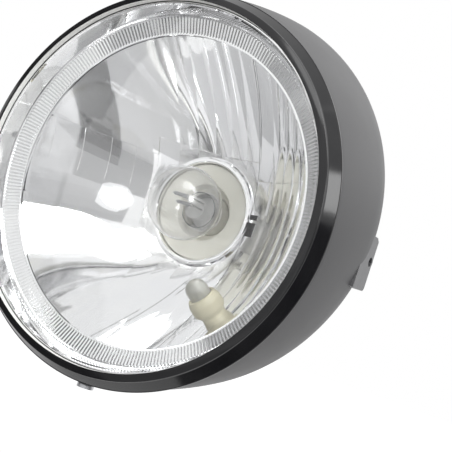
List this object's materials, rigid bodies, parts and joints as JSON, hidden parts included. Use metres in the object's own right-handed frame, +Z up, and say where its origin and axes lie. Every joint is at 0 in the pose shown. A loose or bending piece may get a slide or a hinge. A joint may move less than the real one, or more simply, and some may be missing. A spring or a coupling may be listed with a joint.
{
  "type": "motorcycle headlight",
  "caption": "Round motorcycle headlight: dark bucket, gloss black rim, clear domed lens, faceted mirror reflector with ribbed border, main and position bulbs, threaded side pads.",
  "frame": {"origin": "midway between the two side screw holes, on the axis that the lamp tilts about", "axes": "+X towards the pad on the viewer's right, +Y back along the lens axis, +Z up; the lens faces -Y"},
  "size_m": [0.184, 0.1153, 0.1921],
  "materials": {
    "gloss_black": "gloss black paint",
    "satin_black": "satin dark grey powder coat",
    "plated_steel": "dull plated",
    "clear_lens": "clear, polished",
    "bright_reflector": "bright metallised",
    "bulb_glass": "clear, polished",
    "cap_metal": "nickel plated",
    "lead_wire": "drawn wire",
    "filament_wire": "coiled wire",
    "contact_brass": "satin",
    "pale_moulding": "matte cream",
    "white_moulding": "matte off-white",
    "pad_metal": "dull grey plated",
    "dark_insulator": "dark moulded",
    "seal_rubber": "matte black",
    "boot_rubber": "matte black"
  },
  "bodies": {
    "root": {"rim": "gloss_black", "rim_gasket": "seal_rubber", "rim_tongue": "plated_steel", "rim_screw": "plated_steel", "rim_screw_nut": "plated_steel", "retaining_clips": "plated_steel", "lens": "clear_lens", "lens_seal": "seal_rubber", "reflector": "bright_reflector", "main_bulb_glass": "bulb_glass", "main_bulb_cap": "cap_metal", "main_bulb_stem": "bulb_glass", "main_bulb_leads": "lead_wire", "driving_filament": "filament_wire", "dipped_filament": "filament_wire", "main_bulb_insulator": "dark_insulator", "main_bulb_contacts": "contact_brass", "bulb_holder": "white_moulding", "contact_plate": "dark_insulator", "holder_contacts": "contact_brass", "dust_boot": "boot_rubber", "position_bulb_glass": "bulb_glass", "position_bulb_leads": "lead_wire", "position_bulb_filament": "filament_wire", "position_bulb_holder": "pale_moulding", "position_holder_contacts": "contact_brass", "bucket": "satin_black", "left_pad": "pad_metal", "right_pad": "pad_metal", "cable_grommet": "boot_rubber"}
  },
  "joints": []
}
